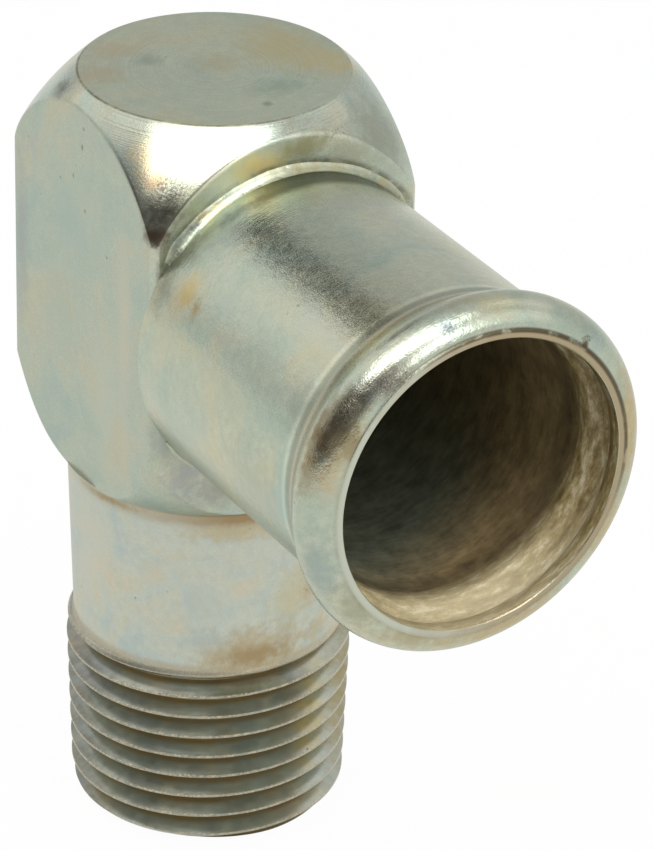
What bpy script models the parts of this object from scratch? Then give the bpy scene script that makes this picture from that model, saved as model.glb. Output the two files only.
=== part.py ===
# Right angle heater hose fitting: a turned steel body with four flats, a taper pipe thread
# and a beaded hose tube.
# Z is the axis of the pipe thread with its open end at zero. The hose tube leaves the body along -Y.
import math

import bmesh
import bpy
from mathutils import Vector

mm = 0.001

# facets round every turned surface
segments = 48

# taper pipe thread, 18 turns to the inch, rolled onto a tapered blank
thread_pitch = 25.4 / 18 * mm
taper_on_radius = 1 / 32
pitch_radius_at_end = 7.76 * mm
crest_height = 0.48 * mm
root_depth = 0.52 * mm
crest_flat = 0.16 * mm
root_flat = 0.15 * mm
thread_length = 12.3 * mm
thread_run_out = 0.9 * mm
thread_start_drop = 2.25 * mm
end_chamfer_depth = 0.75 * mm
end_chamfer_angle = math.radians(45)

# turned body above the thread
shank_top = 22.78 * mm
block_height = 24.72 * mm
corner_radius = 11.9 * mm
shank_fillet = 0.36 * mm
underside_rise = 4.85 * mm
underside_angles = (math.radians(26.6), math.radians(67.2))
underside_handles = (1.15 * mm, 2.66 * mm)
crown_radius = 7.79 * mm
shoulder_drop = 5.88 * mm
shoulder_angles = (math.radians(40), math.radians(77.7))
shoulder_handles = (2.15 * mm, 1.91 * mm)

# four wrench flats milled on the body
across_flats = 17.25 * mm

# hose tube with a rolled bead at its mouth
tube_axis_below_crown = 12.47 * mm
tube_radius = 9.525 * mm
tube_wall = 1.17 * mm
tube_reach = 29.8 * mm
braze_fillet = 0.5 * mm
bead_length = 4.3 * mm
bead_rise = 1.075 * mm
bead_front_radius = 1.66 * mm
rim_inset = 1.5 * mm
lip_step = 0.3 * mm
lip_depth = 1.05 * mm
groove_wall = 1.2 * mm
groove_length = 3.2 * mm

# drilled ways inside
thread_wall = 1.36 * mm
cross_bore_step = 2.15 * mm
drill_half_angle = math.radians(59)
thread_bore_past_axis = 4.0 * mm
cross_bore_past_axis = 1.5 * mm
bore_floor_before_face = 1.78 * mm

# places that follow from the sizes
body_height = shank_top + block_height
front_face = across_flats / 2
corner_bottom = shank_top + underside_rise
corner_top = body_height - shoulder_drop
tube_axis_height = body_height - tube_axis_below_crown
tube_bore_radius = tube_radius - tube_wall
bead_radius = tube_radius + bead_rise
bead_centre = tube_reach - bead_front_radius - 0.06 * mm
bead_start = tube_reach - bead_length
rim_radius = bead_radius - rim_inset
lip_radius = tube_bore_radius + lip_step
groove_radius = bead_radius - groove_wall
groove_start = tube_reach - groove_length
tube_bore_floor = front_face + bore_floor_before_face
cross_bore_radius = tube_bore_radius - cross_bore_step
thread_bore_radius = pitch_radius_at_end - root_depth - thread_wall
end_radius = pitch_radius_at_end + crest_height - end_chamfer_depth * math.tan(end_chamfer_angle)
thread_start_height = -thread_start_drop
thread_turns = math.ceil((thread_length + thread_start_drop) / thread_pitch)

steel_colour = (0.60, 0.63, 0.57, 1.0)
steel_roughness = 0.36


def clear_scene():
    for item in list(bpy.data.objects):
        bpy.data.objects.remove(item, do_unlink=True)


def make_object(name, shape):
    mesh = bpy.data.meshes.new(name)
    shape.normal_update()
    shape.to_mesh(mesh)
    shape.free()
    item = bpy.data.objects.new(name, mesh)
    bpy.context.scene.collection.objects.link(item)
    return item


def curve_points(start, start_angle, start_handle, end, end_angle, end_handle, count):
    # cubic curve between two points of a profile, leaving and arriving at the given slopes
    first = Vector((start[0] + start_handle * math.cos(start_angle),
                    start[1] + start_handle * math.sin(start_angle)))
    last = Vector((end[0] - end_handle * math.cos(end_angle), end[1] - end_handle * math.sin(end_angle)))
    start, end = Vector(start), Vector(end)
    points = []
    for step in range(count + 1):
        t = step / count
        u = 1 - t
        points.append(u ** 3 * start + 3 * u * u * t * first + 3 * u * t * t * last + t ** 3 * end)
    return [(point.x, point.y) for point in points]


def ring(shape, radius, height, placed, offset=0.0):
    # one ring of vertices; placed turns (radius, angle, height) into a position
    angles = [2 * math.pi * (i + offset) / segments for i in range(segments)]
    return [shape.verts.new(placed(radius, angle, height)) for angle in angles]


def upright(radius, angle, height):
    return (radius * math.cos(angle), radius * math.sin(angle), height)


def forward(radius, angle, reach):
    # the same for a shape turned about the hose tube's axis, which runs along -Y
    return (radius * math.cos(angle), -reach, tube_axis_height + radius * math.sin(angle))


def skin_rings(shape, lower, upper):
    for i in range(segments):
        j = (i + 1) % segments
        shape.faces.new((lower[i], lower[j], upper[j], upper[i]))


def turned_shape(profile, placed, offset=0.0):
    # closed solid of revolution through a profile of (radius, height), flat or pointed at its ends
    shape = bmesh.new()
    rings = []
    for radius, height in profile:
        if radius < 1e-7:
            rings.append(shape.verts.new(placed(0, 0, height)))
        else:
            rings.append(ring(shape, radius, height, placed, offset))
    for lower, upper in zip(rings, rings[1:]):
        for i in range(segments):
            j = (i + 1) % segments
            if isinstance(lower, list) and isinstance(upper, list):
                shape.faces.new((lower[i], lower[j], upper[j], upper[i]))
            elif isinstance(lower, list):
                shape.faces.new((lower[i], lower[j], upper))
            else:
                shape.faces.new((lower, upper[j], upper[i]))
    if isinstance(rings[0], list):
        shape.faces.new(rings[0][::-1])
    if isinstance(rings[-1], list):
        shape.faces.new(rings[-1])
    bmesh.ops.recalc_face_normals(shape, faces=shape.faces)
    return shape


def blank_radius(height):
    return pitch_radius_at_end + taper_on_radius * height


def thread_strength(height):
    # the rolled ridge fades out under the plain shank and below the open end
    top = min(max((thread_length - height) / thread_run_out, 0), 1)
    bottom = min(max((height + 1.0 * mm) / (0.6 * mm), 0), 1)
    return top * top * (3 - 2 * top) * bottom


def turned_body():
    # shank with the helical thread and the body above it, as one skin
    shape = bmesh.new()
    flank = (thread_pitch - crest_flat - root_flat) / 2
    rows = ((0, -root_depth), (root_flat, -root_depth), (root_flat + flank, crest_height),
            (root_flat + flank + crest_flat, crest_height))
    steps = segments * thread_turns

    def thread_vertex(step, row):
        climb, offset = rows[row] if row < len(rows) else (thread_pitch, -root_depth)
        height = thread_start_height + thread_pitch * step / segments + climb
        radius = blank_radius(height) + offset * thread_strength(height)
        return shape.verts.new(upright(radius, 2 * math.pi * step / segments, height))

    last_row = len(rows)
    grid = [[thread_vertex(step, row) for row in range(last_row)] for step in range(steps + 1)]
    top_edge = {steps - segments: grid[steps][0]}
    for step in range(steps - segments + 1, steps + 1):
        top_edge[step] = thread_vertex(step, last_row)

    def vertex(step, row):
        if row < last_row:
            return grid[step][row]
        return grid[step + segments][0] if step + segments <= steps else top_edge[step]

    for step in range(steps):
        for row in range(last_row):
            shape.faces.new((vertex(step, row), vertex(step + 1, row),
                             vertex(step + 1, row + 1), vertex(step, row + 1)))

    # plain ring below the thread, later cut away at the open end
    bottom_height = thread_start_height - 0.5 * mm
    bottom = ring(shape, blank_radius(bottom_height), bottom_height, upright)
    for step in range(segments - 1):
        shape.faces.new((bottom[step], bottom[step + 1], grid[step + 1][0], grid[step][0]))
    shape.faces.new([bottom[-1], bottom[0]] + grid[0] + [grid[segments][0], grid[segments - 1][0]])
    shape.faces.new(bottom[::-1])

    # first plain ring of the shank
    shank_height = thread_start_height + thread_pitch * (thread_turns + 1) + 0.5 * mm
    shank = ring(shape, blank_radius(shank_height), shank_height, upright)
    first = steps - segments
    for step in range(first + 1, steps):
        i, j = step % segments, (step + 1) % segments
        shape.faces.new((top_edge[step], top_edge[step + 1], shank[j], shank[i]))
    i, j = first % segments, (first + 1) % segments
    last_column = [top_edge[steps]] + grid[steps][:0:-1]
    shape.faces.new([grid[steps][0], top_edge[first + 1], shank[j], shank[i]] + last_column)

    # fillet under the body, underside, corner band, shoulder and crown
    shank_radius = blank_radius(shank_top)
    fillet_end = (shank_radius + shank_fillet * 0.9, shank_top + shank_fillet * 1.1)
    profile = curve_points((shank_radius, shank_top), math.radians(88), shank_fillet * 0.6,
                           fillet_end, underside_angles[0], shank_fillet * 0.5, 3)
    profile += curve_points(fillet_end, underside_angles[0], underside_handles[0],
                            (corner_radius, corner_bottom), underside_angles[1], underside_handles[1], 7)[1:]
    shoulder = curve_points((crown_radius, body_height), -shoulder_angles[0], shoulder_handles[0],
                            (corner_radius, corner_top), -shoulder_angles[1], shoulder_handles[1], 9)
    profile += shoulder[::-1]
    lower = shank
    for radius, height in profile:
        upper = ring(shape, radius, height, upright)
        skin_rings(shape, lower, upper)
        lower = upper
    shape.faces.new(lower)
    bmesh.ops.recalc_face_normals(shape, faces=shape.faces)
    return shape


def tube_solid():
    # hose tube as a solid bar with the bead's outer form, its end face against the front flat
    seat = min(tube_radius, front_face) - 0.4 * mm
    profile = [(seat, front_face - 0.6 * mm), (seat, front_face - 0.015 * mm),
               (tube_radius, front_face - 0.015 * mm), (tube_radius, bead_start - 0.4 * mm)]
    for step in range(8):
        share = step / 7
        profile.append((tube_radius + bead_rise * (1 - math.cos(math.pi * share)) / 2,
                        bead_start + (bead_centre - bead_start) * share))
    front_centre = bead_radius - bead_front_radius
    stop = math.acos((rim_radius + 0.04 * mm - front_centre) / bead_front_radius)
    for step in range(1, 7):
        angle = stop * step / 6
        profile.append((front_centre + bead_front_radius * math.cos(angle),
                        bead_centre + bead_front_radius * math.sin(angle)))
    profile.append((rim_radius, tube_reach))
    return turned_shape(profile, forward)


def braze_solid():
    # small concave ring of braze where the tube meets the front flat
    profile = [(tube_radius + braze_fillet, front_face - 0.7 * mm)]
    for step in range(5):
        angle = math.pi / 2 * step / 4
        profile.append((tube_radius + braze_fillet * (1 - math.sin(angle)),
                        front_face + braze_fillet * (1 - math.cos(angle))))
    profile.append((tube_radius - 0.3 * mm, front_face + braze_fillet + 0.05 * mm))
    return turned_shape(profile, forward)


def cross_bore_solid():
    # bore of the hose tube with the hollow of the bead, and the smaller drilled way behind it
    floor_drop = (tube_bore_radius - cross_bore_radius) / math.tan(drill_half_angle)
    tip = cross_bore_radius / math.tan(drill_half_angle)
    profile = [(0, -cross_bore_past_axis - tip), (cross_bore_radius, -cross_bore_past_axis),
               (cross_bore_radius, tube_bore_floor - floor_drop), (tube_bore_radius, tube_bore_floor)]
    for step in range(6):
        share = step / 5
        opened = (1 - math.cos(math.pi * share)) / 2
        profile.append((tube_bore_radius + (groove_radius - tube_bore_radius) * opened,
                        groove_start + (bead_centre - groove_start) * share))
    lip_back = tube_reach - lip_depth
    profile += [(groove_radius - 0.12 * mm, lip_back - 0.3 * mm),
                (lip_radius + 0.25 * mm, lip_back - 0.05 * mm),
                (lip_radius, lip_back + 0.2 * mm), (lip_radius, tube_reach + 2 * mm)]
    return turned_shape(profile, forward)


def thread_bore_solid():
    top = tube_axis_height + thread_bore_past_axis
    tip = thread_bore_radius / math.tan(drill_half_angle)
    return turned_shape([(thread_bore_radius, -2 * mm), (thread_bore_radius, top), (0, top + tip)], upright)


def end_cutter_solid():
    # everything below the open end and outside its chamfer, its facets half a step round from the thread's
    reach = 4 * mm
    rim = end_radius + reach * math.tan(end_chamfer_angle)
    below = thread_start_drop + thread_pitch + 2 * mm
    profile = [(end_radius, 0), (rim, reach), (rim + 2 * mm, reach), (rim + 2 * mm, -below)]
    return turned_shape(profile, upright, 0.5)


def slab(shape, outline, low, high):
    # upright prism over an outline of (x, y) points
    lower = [shape.verts.new((x, y, low)) for x, y in outline]
    upper = [shape.verts.new((x, y, high)) for x, y in outline]
    count = len(outline)
    for i in range(count):
        j = (i + 1) % count
        shape.faces.new((lower[i], lower[j], upper[j], upper[i]))
    shape.faces.new(lower[::-1])
    shape.faces.new(upper)


def flat_cutter_solid(across_y):
    # pair of slabs outside the front and back flats, or outside the two side flats
    shape = bmesh.new()
    far = corner_radius + 4 * mm
    for side in (-1, 1):
        near = side * front_face
        outline = [(-far, near), (far, near), (far, side * far), (-far, side * far)]
        if not across_y:
            outline = [(y, x) for x, y in outline]
        slab(shape, outline, shank_top + 0.3 * mm, body_height + 1 * mm)
    bmesh.ops.recalc_face_normals(shape, faces=shape.faces)
    return shape


def braze_limit_solid():
    # the braze stops short of the edges of the front flat
    shape = bmesh.new()
    half = math.sqrt(corner_radius ** 2 - front_face ** 2) - 0.05 * mm
    back, front = 2 * mm - front_face, -front_face - braze_fillet - 3 * mm
    reach = tube_radius + braze_fillet + 1 * mm
    outline = [(-half, back), (half, back), (half, front), (-half, front)]
    slab(shape, outline, tube_axis_height - reach, tube_axis_height + reach)
    bmesh.ops.recalc_face_normals(shape, faces=shape.faces)
    return shape


def add_boolean(item, name, operation, shape):
    # the helper shape stays out of the picture
    helper = make_object(name, shape)
    helper.hide_render = True
    helper.display_type = "WIRE"
    step = item.modifiers.new(name, "BOOLEAN")
    step.operation = operation
    step.object = helper
    step.solver = "EXACT"
    return helper


def steel():
    material = bpy.data.materials.new("zinc plated steel")
    material.use_nodes = True
    shader = material.node_tree.nodes["Principled BSDF"]
    shader.inputs["Base Color"].default_value = steel_colour
    shader.inputs["Metallic"].default_value = 1.0
    shader.inputs["Roughness"].default_value = steel_roughness
    return material


clear_scene()
fitting = make_object("hose_fitting", turned_body())
fitting.data.materials.append(steel())
add_boolean(fitting, "front_and_back_flats", "DIFFERENCE", flat_cutter_solid(True))
add_boolean(fitting, "side_flats", "DIFFERENCE", flat_cutter_solid(False))
add_boolean(fitting, "hose_tube", "UNION", tube_solid())
braze = add_boolean(fitting, "braze", "UNION", braze_solid())
add_boolean(braze, "braze_limit", "INTERSECT", braze_limit_solid())
add_boolean(fitting, "open_end_and_chamfer", "DIFFERENCE", end_cutter_solid())
add_boolean(fitting, "thread_bore", "DIFFERENCE", thread_bore_solid())
add_boolean(fitting, "cross_bore", "DIFFERENCE", cross_bore_solid())
fitting.data.shade_smooth()
fitting.data.set_sharp_from_angle(angle=math.radians(32))
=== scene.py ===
import math
from functools import partial

import bmesh
import bpy
from mathutils import Matrix, Vector, noise


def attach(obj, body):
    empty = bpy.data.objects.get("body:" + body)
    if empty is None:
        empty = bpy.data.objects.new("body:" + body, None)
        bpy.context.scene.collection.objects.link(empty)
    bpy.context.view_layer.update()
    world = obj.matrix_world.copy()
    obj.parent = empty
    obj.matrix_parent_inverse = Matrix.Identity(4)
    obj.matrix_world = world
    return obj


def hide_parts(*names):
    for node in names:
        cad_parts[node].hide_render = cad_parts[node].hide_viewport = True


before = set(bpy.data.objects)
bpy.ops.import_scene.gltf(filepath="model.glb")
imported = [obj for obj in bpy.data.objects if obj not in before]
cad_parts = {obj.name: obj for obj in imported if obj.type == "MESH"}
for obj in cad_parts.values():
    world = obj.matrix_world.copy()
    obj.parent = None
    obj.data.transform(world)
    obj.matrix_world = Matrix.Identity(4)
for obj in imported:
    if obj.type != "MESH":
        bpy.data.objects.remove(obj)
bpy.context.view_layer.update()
scene = bpy.context.scene
mm = 0.001


def cubicCurve(start, end, slopes, count):
    # profile curve in (radius, height), in mm; slopes are the angle and handle at its start and at its end
    startAngle, startHandle, endAngle, endHandle = slopes
    a, b = math.radians(startAngle), math.radians(endAngle)
    p0, p3 = Vector(start), Vector(end)
    p1 = p0 + startHandle * Vector((math.cos(a), math.sin(a)))
    p2 = p3 - endHandle * Vector((math.cos(b), math.sin(b)))
    points = []
    for i in range(count + 1):
        t = i / count
        points.append((1 - t) ** 3 * p0 + 3 * (1 - t) ** 2 * t * p1 + 3 * (1 - t) * t * t * p2 + t ** 3 * p3)
    return points


def softenCorners(points, corners, steps=4):
    # replaces each named corner of a profile by a small rounding of the given reach
    result = []
    for i, point in enumerate(points):
        reach = corners.get(i)
        if not reach:
            result.append(point)
            continue
        before = point + (points[i - 1] - point).normalized() * reach
        after = point + (points[i + 1] - point).normalized() * reach
        for s in range(steps + 1):
            t = s / steps
            result.append((1 - t) ** 2 * before + 2 * (1 - t) * t * point + t * t * after)
    return result


def softMin(a, b, reach):
    gap = max(reach - abs(a - b), 0)
    return min(a, b) - gap * gap / (4 * reach)


def smoothStep(low, high, value):
    t = min(max((value - low) / (high - low), 0), 1)
    return t * t * (3 - 2 * t)


def makePiece(name, vertices, faces, sharpAngle=40):
    # vertices in mm, in the frame's own place
    mesh = bpy.data.meshes.new(name)
    mesh.from_pydata([Vector(v) * mm for v in vertices], [], faces)
    work = bmesh.new()
    work.from_mesh(mesh)
    bmesh.ops.remove_doubles(work, verts=work.verts, dist=1e-7)
    bmesh.ops.recalc_face_normals(work, faces=work.faces)
    work.to_mesh(mesh)
    work.free()
    piece = bpy.data.objects.new(name, mesh)
    scene.collection.objects.link(piece)
    mesh.shade_smooth()
    mesh.set_sharp_from_angle(angle=math.radians(sharpAngle))
    return piece


def lathe(name, profile, place, segments, sharpAngle=40):
    # closed turned shape; place(radius, angle, height) gives a point
    vertices, rings = [], []
    for radius, height in profile:
        if radius < 1e-6:
            rings.append([len(vertices)])
            vertices.append(place(0, 0, height))
        else:
            rings.append(list(range(len(vertices), len(vertices) + segments)))
            vertices += [place(radius, 2 * math.pi * i / segments, height) for i in range(segments)]
    faces = []
    for lower, upper in zip(rings, rings[1:]):
        for i in range(segments):
            j = (i + 1) % segments
            if len(lower) > 1 and len(upper) > 1:
                faces.append((lower[i], lower[j], upper[j], upper[i]))
            elif len(lower) > 1:
                faces.append((lower[i], lower[j], upper[0]))
            elif len(upper) > 1:
                faces.append((lower[0], upper[j], upper[i]))
    if len(rings[0]) > 1 and len(rings[-1]) > 1:  # a ring-shaped section closes on itself
        for i in range(segments):
            j = (i + 1) % segments
            faces.append((rings[-1][i], rings[-1][j], rings[0][j], rings[0][i]))
    return makePiece(name, vertices, faces, sharpAngle)


def cutWith(piece, cutter):
    step = piece.modifiers.new("cut", "BOOLEAN")
    step.operation = "DIFFERENCE"
    step.solver = "EXACT"
    step.object = cutter
    depsgraph = bpy.context.evaluated_depsgraph_get()
    mesh = bpy.data.meshes.new_from_object(piece.evaluated_get(depsgraph))
    piece.modifiers.clear()
    old = piece.data
    piece.data = mesh
    bpy.data.meshes.remove(old)
    bpy.data.objects.remove(cutter, do_unlink=True)


shortKinds = {"*": "Math MULTIPLY", "+": "Math ADD", "-": "Math SUBTRACT", "ramp": "MapRange",
              "softRamp": "MapRange SMOOTHSTEP"}


def feed(tree, value, socket):
    # gives a socket a plain value, another socket, or the first live output of a node
    if isinstance(value, bpy.types.Node):
        value = next(output for output in value.outputs if output.enabled)
    if isinstance(value, bpy.types.NodeSocket):
        tree.links.new(value, socket)
    else:
        socket.default_value = value


def addNode(tree, kind, inputs=(), **settings):
    # one node, with its inputs by number or name; kind is short, or a name and its choice, as in "Math SINE"
    kind, _, choice = shortKinds.get(kind, kind).partition(" ")
    if choice:
        settings[{"MapRange": "interpolation_type", "Mix": "data_type"}.get(kind, "operation")] = choice
    node = tree.nodes.new(kind if "Node" in kind else "ShaderNode" + kind)
    for key, value in settings.items():
        setattr(node, key, value)
    for key, value in (inputs.items() if isinstance(inputs, dict) else enumerate(inputs)):
        feed(tree, value, node.inputs[key])
    return node


def awayFrom(add, spot, centre, radii):
    # how far a spot lies from the middle of an ellipsoid, as 1 on its surface
    offset = add("VectorMath SUBTRACT", [spot, centre])
    offset = add("VectorMath MULTIPLY", [offset, tuple(1 / r for r in radii)])
    return add("VectorMath LENGTH", [offset])


def nearLine(add, value, place, reach, core, strength):
    # soft line where a value is near its place: full inside the core, gone beyond the reach
    away = add("Math ABSOLUTE", [add("-", [value, place])])
    return add("softRamp", [away, reach, core, 0.0, strength])


def hexColour(text):
    # sRGB hex to linear
    parts = [int(text[i:i + 2], 16) / 255 for i in (1, 3, 5)]
    return tuple(p / 12.92 if p <= 0.04045 else ((p + 0.055) / 1.055) ** 2.4 for p in parts) + (1.0,)


# square body: turned, with four milled flats; sizes in mm and degrees
body = {
    "height": 47.5, "crownRadius": 7.79, "cornerRadius": 11.9, "cornerTop": 41.62, "cornerBottom": 27.63,
    "underside": (8.5, 23.05), "seat": (8.3, 23.02), "halfFlats": 8.625, "edgeSoftness": 0.17,
    "shoulderSlopes": (-40, 2.15, -77.7, 1.91), "undersideSlopes": (247.2, 2.90, 197.3, 1.19),
    "curveSteps": 400,
    "crownEdge": 0.10, "cornerEdge": 0.07, "undersideEdge": 0.06, "sharpAngle": 35,
    "crownRows": (0, 1.5, 3, 4.5, 6, 7, 7.6), "cornerRows": (41.4, 40, 37.5, 35, 32.5, 30, 28, 27.8),
    "rowStep": 0.13, "closeRowStep": 0.045, "closeRowReach": 0.35, "leastRowStep": 0.09,
    "flatColumns": 46, "cornerColumns": 40, "leastFlatAngle": 5.0, "evenShare": 0.35,
    "crossBore": 6.22, "crossBoreEnd": -1.5, "crossBoreMouth": 12,
    "threadBore": 5.88, "threadBoreFoot": 20, "boreTop": 39.03, "drillHalfAngle": 59, "boreSides": 96,
}
# hose tube with a rolled bead, a flat rim and a hollow behind the lip; reaches count from the body's axis
tube = {
    "axisHeight": 35.03, "radius": 9.525, "wall": 1.17, "reach": 29.8, "face": 8.625, "sharpAngle": 38,
    "backReach": 8.4, "backRadius": 8.6, "rootReach": 8.61, "firstRing": 9.1, "ringStep": 0.49, "rings": 34,
    "beadStart": 25.45, "beadCentre": 28.08, "beadRadius": 10.6, "beadFront": 1.66, "beadSteps": 28,
    "rimOuter": 9.1, "rimGap": 0.04, "rimSteps": 18, "lipRadius": 8.655, "lipDepth": 1.05, "lipEdge": 0.06,
    "grooveRadius": 9.4, "grooveStart": 26.6, "grooveSteps": 20, "boreSteps": 16, "floor": 10.4,
    "holeRadius": 6.2, "segments": 300,
}


def upright(radius, angle, height):
    return (radius * math.cos(angle), radius * math.sin(angle), height)


def forward(radius, angle, reach):
    return (radius * math.cos(angle), -reach, tube["axisHeight"] + radius * math.sin(angle))


def bodyProfile():
    b = body
    steps, wide = b["curveSteps"], b["cornerRadius"]
    shoulder = cubicCurve((b["crownRadius"], b["height"]), (wide, b["cornerTop"]), b["shoulderSlopes"], steps)
    under = cubicCurve((wide, b["cornerBottom"]), b["underside"], b["undersideSlopes"], steps)
    raw = [Vector((r, b["height"])) for r in b["crownRows"]]
    raw += shoulder + [Vector((wide, z)) for z in b["cornerRows"]] + under
    raw += [Vector(b["seat"]), Vector((0, b["seat"][1]))]
    # thin out the finely drawn curves, keeping more rows where the flats run out
    kept, last = [raw[0]], raw[0]
    corners = [shoulder[0], shoulder[-1], under[0], under[-1]]
    for point in raw[1:-1]:
        close = abs(point.x - b["halfFlats"]) < b["closeRowReach"]
        step = b["closeRowStep"] if close else b["rowStep"]
        if (point - last).length >= step or point in corners:
            if point in corners and (point - kept[-1]).length < b["leastRowStep"]:
                kept.pop()
            kept.append(point)
            last = point
    kept.append(raw[-1])
    softened = {}
    for corner, edge in zip(corners, ("crownEdge", "cornerEdge", "cornerEdge", "undersideEdge")):
        softened[min(range(len(kept)), key=lambda i: (kept[i] - corner).length)] = b[edge]
    return softenCorners(kept, softened)


def bodyColumns(turnedRadius):
    # angles round one row: four flats and four corners, with close columns at the milled edges
    b = body
    edge = max(math.degrees(math.acos(min(b["halfFlats"] / turnedRadius, 1))), b["leastFlatAngle"])
    angles = []
    for quarter in (0, 90, 180, 270):
        for middle, half, count in ((quarter, edge, b["flatColumns"]),
                                    (quarter + 45, 45 - edge, b["cornerColumns"])):
            for i in range(count):
                t = 2 * i / count - 1
                spread = b["evenShare"] * t + (1 - b["evenShare"]) * math.sin(math.pi / 2 * t)
                angles.append(math.radians(middle + half * spread))
    return angles


def buildBody():
    b = body
    vertices, rows = [], []
    for turnedRadius, height in bodyProfile():
        if turnedRadius < 1e-6:
            rows.append([len(vertices)])
            vertices.append((0, 0, height))
            continue
        row = []
        for angle in bodyColumns(turnedRadius):
            flat = b["halfFlats"] / max(abs(math.cos(angle)), abs(math.sin(angle)))
            radius = softMin(turnedRadius, flat, b["edgeSoftness"])
            row.append(len(vertices))
            vertices.append(upright(radius, angle, height))
        rows.append(row)
    faces = []
    for upper, lower in zip(rows, rows[1:]):
        count = max(len(upper), len(lower))
        for i in range(count):
            j = (i + 1) % count
            if len(upper) == 1:
                faces.append((upper[0], lower[i], lower[j]))
            elif len(lower) == 1:
                faces.append((upper[i], lower[0], upper[j]))
            else:
                faces.append((upper[i], lower[i], lower[j], upper[j]))
    piece = makePiece("squareBody", vertices, faces, b["sharpAngle"])
    cone = math.tan(math.radians(b["drillHalfAngle"]))
    bore, foot, top = b["threadBore"], b["threadBoreFoot"], b["boreTop"]
    threadBore = [(0, foot), (bore, foot), (bore, top), (0, top + bore / cone)]
    bore, end, mouth = b["crossBore"], b["crossBoreEnd"], b["crossBoreMouth"]
    crossBore = [(0, end - bore / cone), (bore, end), (bore, mouth), (0, mouth)]
    cutWith(piece, lathe("threadBoreCutter", threadBore, upright, b["boreSides"]))
    cutWith(piece, lathe("crossBoreCutter", crossBore, forward, b["boreSides"]))
    return piece


squareBody = buildBody()
print("square body", len(squareBody.data.polygons), "faces")


def buildTube():
    # section as (radius, reach), from the hidden root along the outside, over the bead and back in the bore
    t = tube
    outer, bore, hole, soft = t["radius"], t["radius"] - t["wall"], t["holeRadius"], t["lipEdge"]
    points = [(hole, t["backReach"]), (t["backRadius"], t["backReach"]), (t["backRadius"], t["rootReach"]),
              (outer, t["rootReach"])]
    points += [(outer, t["firstRing"] + i * t["ringStep"]) for i in range(t["rings"])]
    for i in range(t["beadSteps"] + 1):
        s = i / t["beadSteps"]
        points.append((outer + (t["beadRadius"] - outer) * (1 - math.cos(math.pi * s)) / 2,
                       t["beadStart"] + (t["beadCentre"] - t["beadStart"]) * s))
    centre = t["beadRadius"] - t["beadFront"]
    stop = math.acos((t["rimOuter"] + t["rimGap"] - centre) / t["beadFront"])
    for i in range(1, t["rimSteps"] + 1):
        a = stop * i / t["rimSteps"]
        points.append((centre + t["beadFront"] * math.cos(a), t["beadCentre"] + t["beadFront"] * math.sin(a)))
    back = t["reach"] - t["lipDepth"]
    points += [(t["rimOuter"], t["reach"] - 0.03), (t["rimOuter"] - soft, t["reach"]),
               (t["lipRadius"] + soft, t["reach"]), (t["lipRadius"], t["reach"] - soft),
               (t["lipRadius"], back + 0.2), (t["lipRadius"] + 0.04, back + 0.06),
               (t["lipRadius"] + 0.25, back - 0.05), (t["grooveRadius"] - 0.12, back - 0.3)]
    for i in range(t["grooveSteps"] + 1):
        s = 1 - i / t["grooveSteps"]
        points.append((bore + (t["grooveRadius"] - bore) * (1 - math.cos(math.pi * s)) / 2,
                       t["grooveStart"] + (t["beadCentre"] - t["grooveStart"]) * s))
    for i in range(1, t["boreSteps"] + 1):
        points.append((bore, t["grooveStart"] - i * (t["grooveStart"] - t["floor"]) / t["boreSteps"]))
    points.append((hole, t["floor"] - (bore - hole) / math.tan(math.radians(body["drillHalfAngle"]))))
    return lathe("hoseTube", [Vector(point) for point in points], forward, t["segments"], t["sharpAngle"])


hoseTube = buildTube()
print("hose tube", len(hoseTube.data.polygons), "faces")


# braze run round the tube's root, in two arcs that end at the edges of the front flat
braze = {
    "size": 0.46, "unevenness": 0.28, "halfReach": 8.05, "sections": 150, "inTube": 0.3, "inBody": 0.15,
    "endShare": 0.06, "endSize": 0.45, "lowerSize": 0.42, "leftMore": 0.12, "bulge": 0.10, "curveSteps": 9,
    "sharpAngle": 50,
}


def buildBraze():
    t, z = tube, braze
    vertices, faces = [], []
    stop = math.degrees(math.acos(z["halfReach"] / (t["radius"] + z["size"])))
    for middle in (90, 270):
        loops = []
        for i in range(z["sections"] + 1):
            share = i / z["sections"]
            angle = math.radians(middle + (90 - stop) * (2 * share - 1))
            fade = smoothStep(0, z["endShare"], min(share, 1 - share))
            wave = noise.noise(Vector((math.cos(angle) * 2.1, math.sin(angle) * 2.1, 4.0)))
            wave += 0.5 * noise.noise(Vector((math.cos(angle) * 6.0, math.sin(angle) * 6.0, 9.0)))
            size = z["size"] * (z["endSize"] + (1 - z["endSize"]) * fade) * (1 + z["unevenness"] * wave)
            # more metal on top and on the left
            size *= (1 if middle == 90 else z["lowerSize"]) - z["leftMore"] * math.cos(angle)
            inner, sunk = t["radius"] - z["inTube"], t["face"] - z["inBody"]
            section = [(inner, sunk), (t["radius"] + size + 0.01, sunk)]
            for k in range(z["curveSteps"] + 1):
                a = math.pi / 2 * k / z["curveSteps"]
                bulge = z["bulge"] * math.sin(2 * a)  # flowed metal sits fuller than a cut fillet
                section.append((t["radius"] + size * (1 - math.sin(a)) + size * bulge,
                                t["face"] + size * (1 - math.cos(a)) + size * bulge))
            section.append((inner, t["face"] + size))
            loops.append([len(vertices) + k for k in range(len(section))])
            vertices += [forward(r, angle, y) for r, y in section]
        for one, two in zip(loops, loops[1:]):
            for k in range(len(one)):
                m = (k + 1) % len(one)
                faces.append((one[k], one[m], two[m], two[k]))
        faces += [tuple(loops[0]), tuple(loops[-1][::-1])]
    return makePiece("brazeRun", vertices, faces, z["sharpAngle"])


brazeRun = buildBraze()
print("braze run", len(brazeRun.data.polygons), "faces")


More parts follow.
